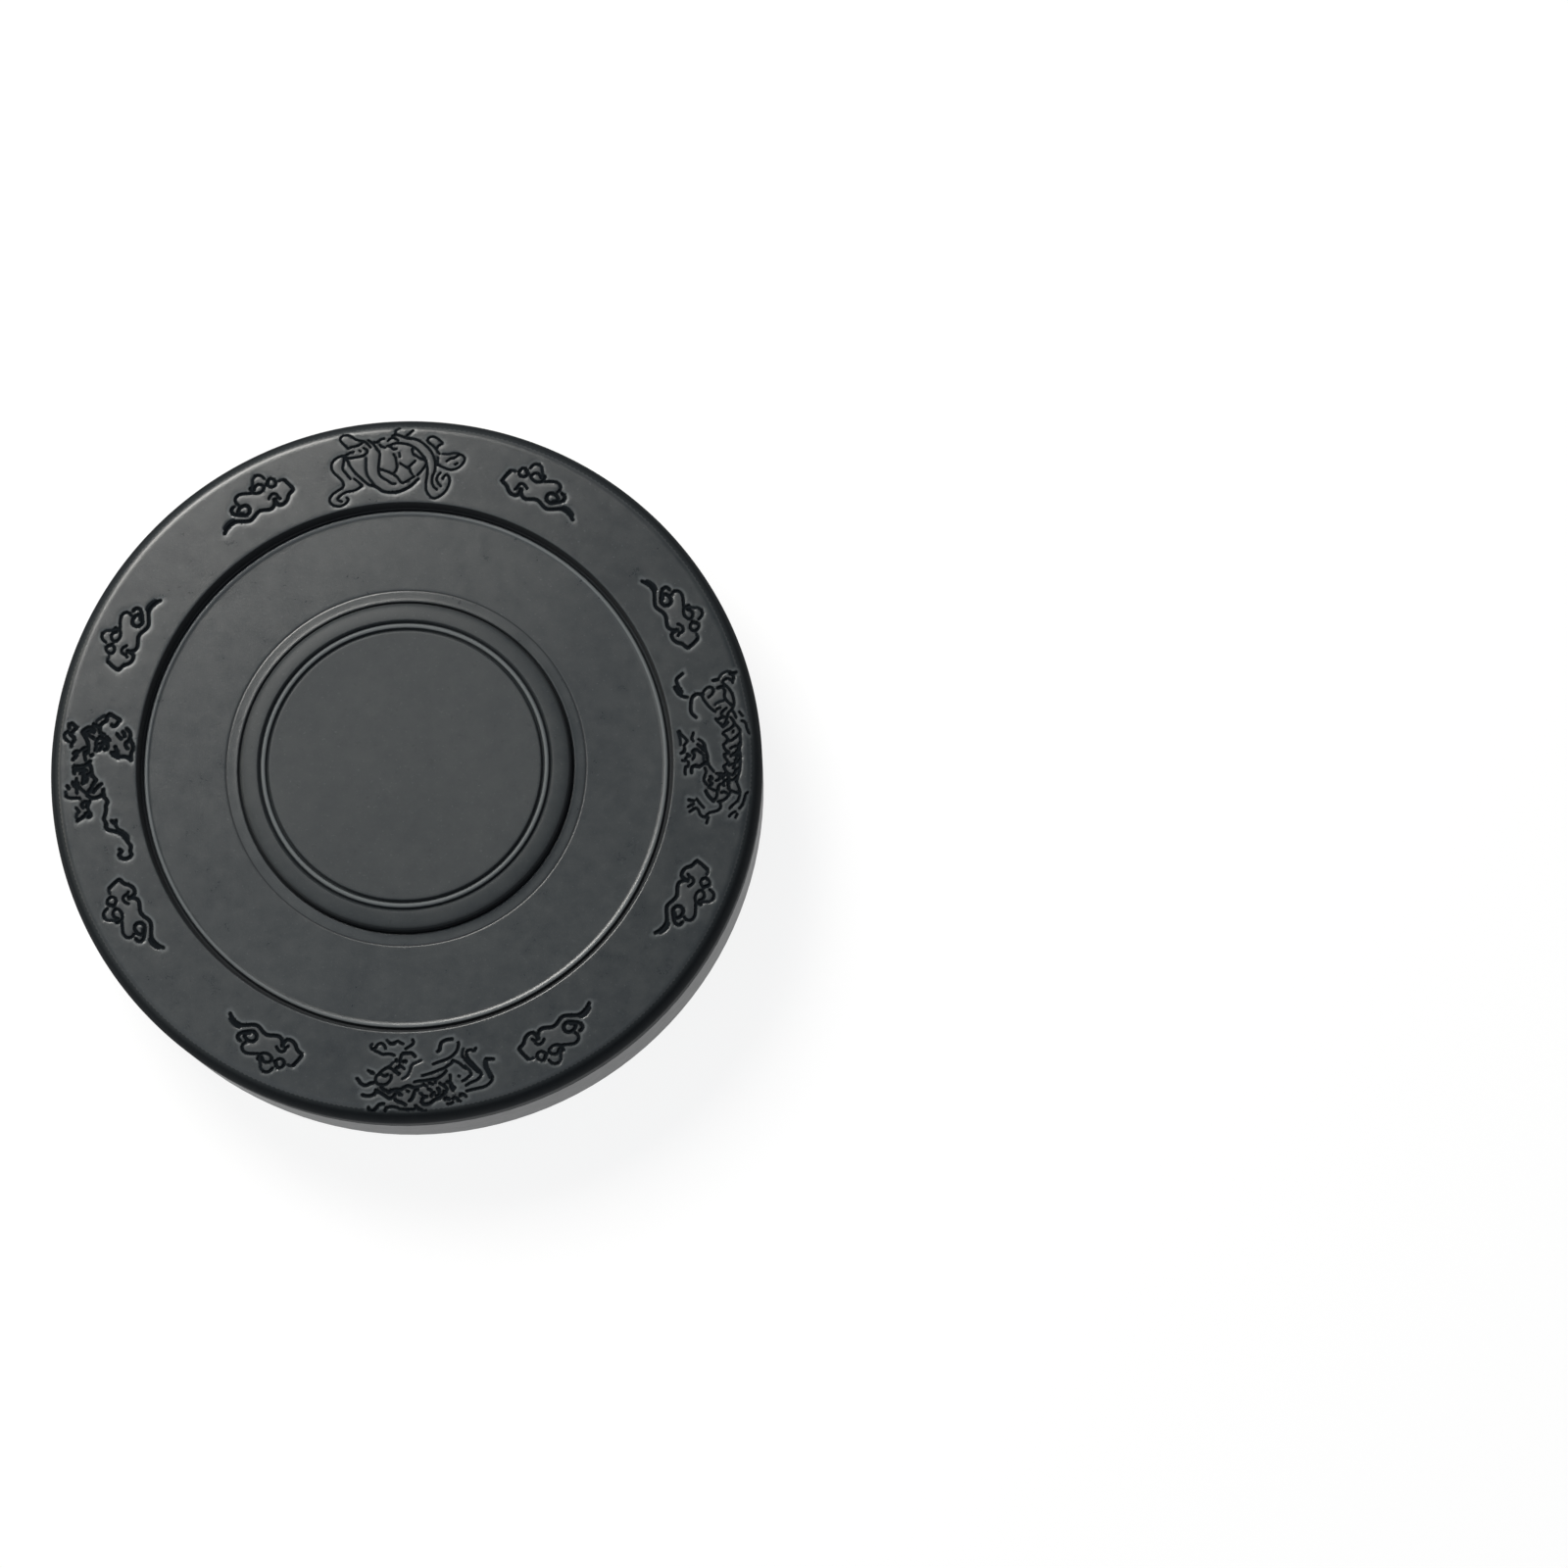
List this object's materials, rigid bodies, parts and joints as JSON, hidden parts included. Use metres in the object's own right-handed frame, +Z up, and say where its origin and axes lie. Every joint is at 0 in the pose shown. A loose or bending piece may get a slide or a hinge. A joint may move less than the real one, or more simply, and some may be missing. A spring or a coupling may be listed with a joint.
{
  "type": "ink stone",
  "caption": "Round ink stone of black stone with a loose lid; the base holds a flat grinding hall and a crescent ink pool behind it.",
  "frame": {"origin": "centre of the underside, on the table that the stone stands on", "axes": "+Z up, out of the carved lid; +Y towards the ink pool and the carved tortoise; +X towards the carved dragon"},
  "size_m": [0.13, 0.13, 0.0285],
  "materials": {
    "lid_stone": "black stone, honed and waxed to a soft shine, carved on its rim",
    "base_stone": "black stone, waxed outside, ground smooth and matt in the hall and the pool"
  },
  "bodies": {
    "base": {"base": "base_stone"},
    "lid": {"lid": "lid_stone"}
  },
  "joints": [
    {"name": "lid_lift", "type": "slide", "parent": "base", "child": "lid", "axis": [0, 0, 1], "range_m": [0, 0.06]}
  ]
}
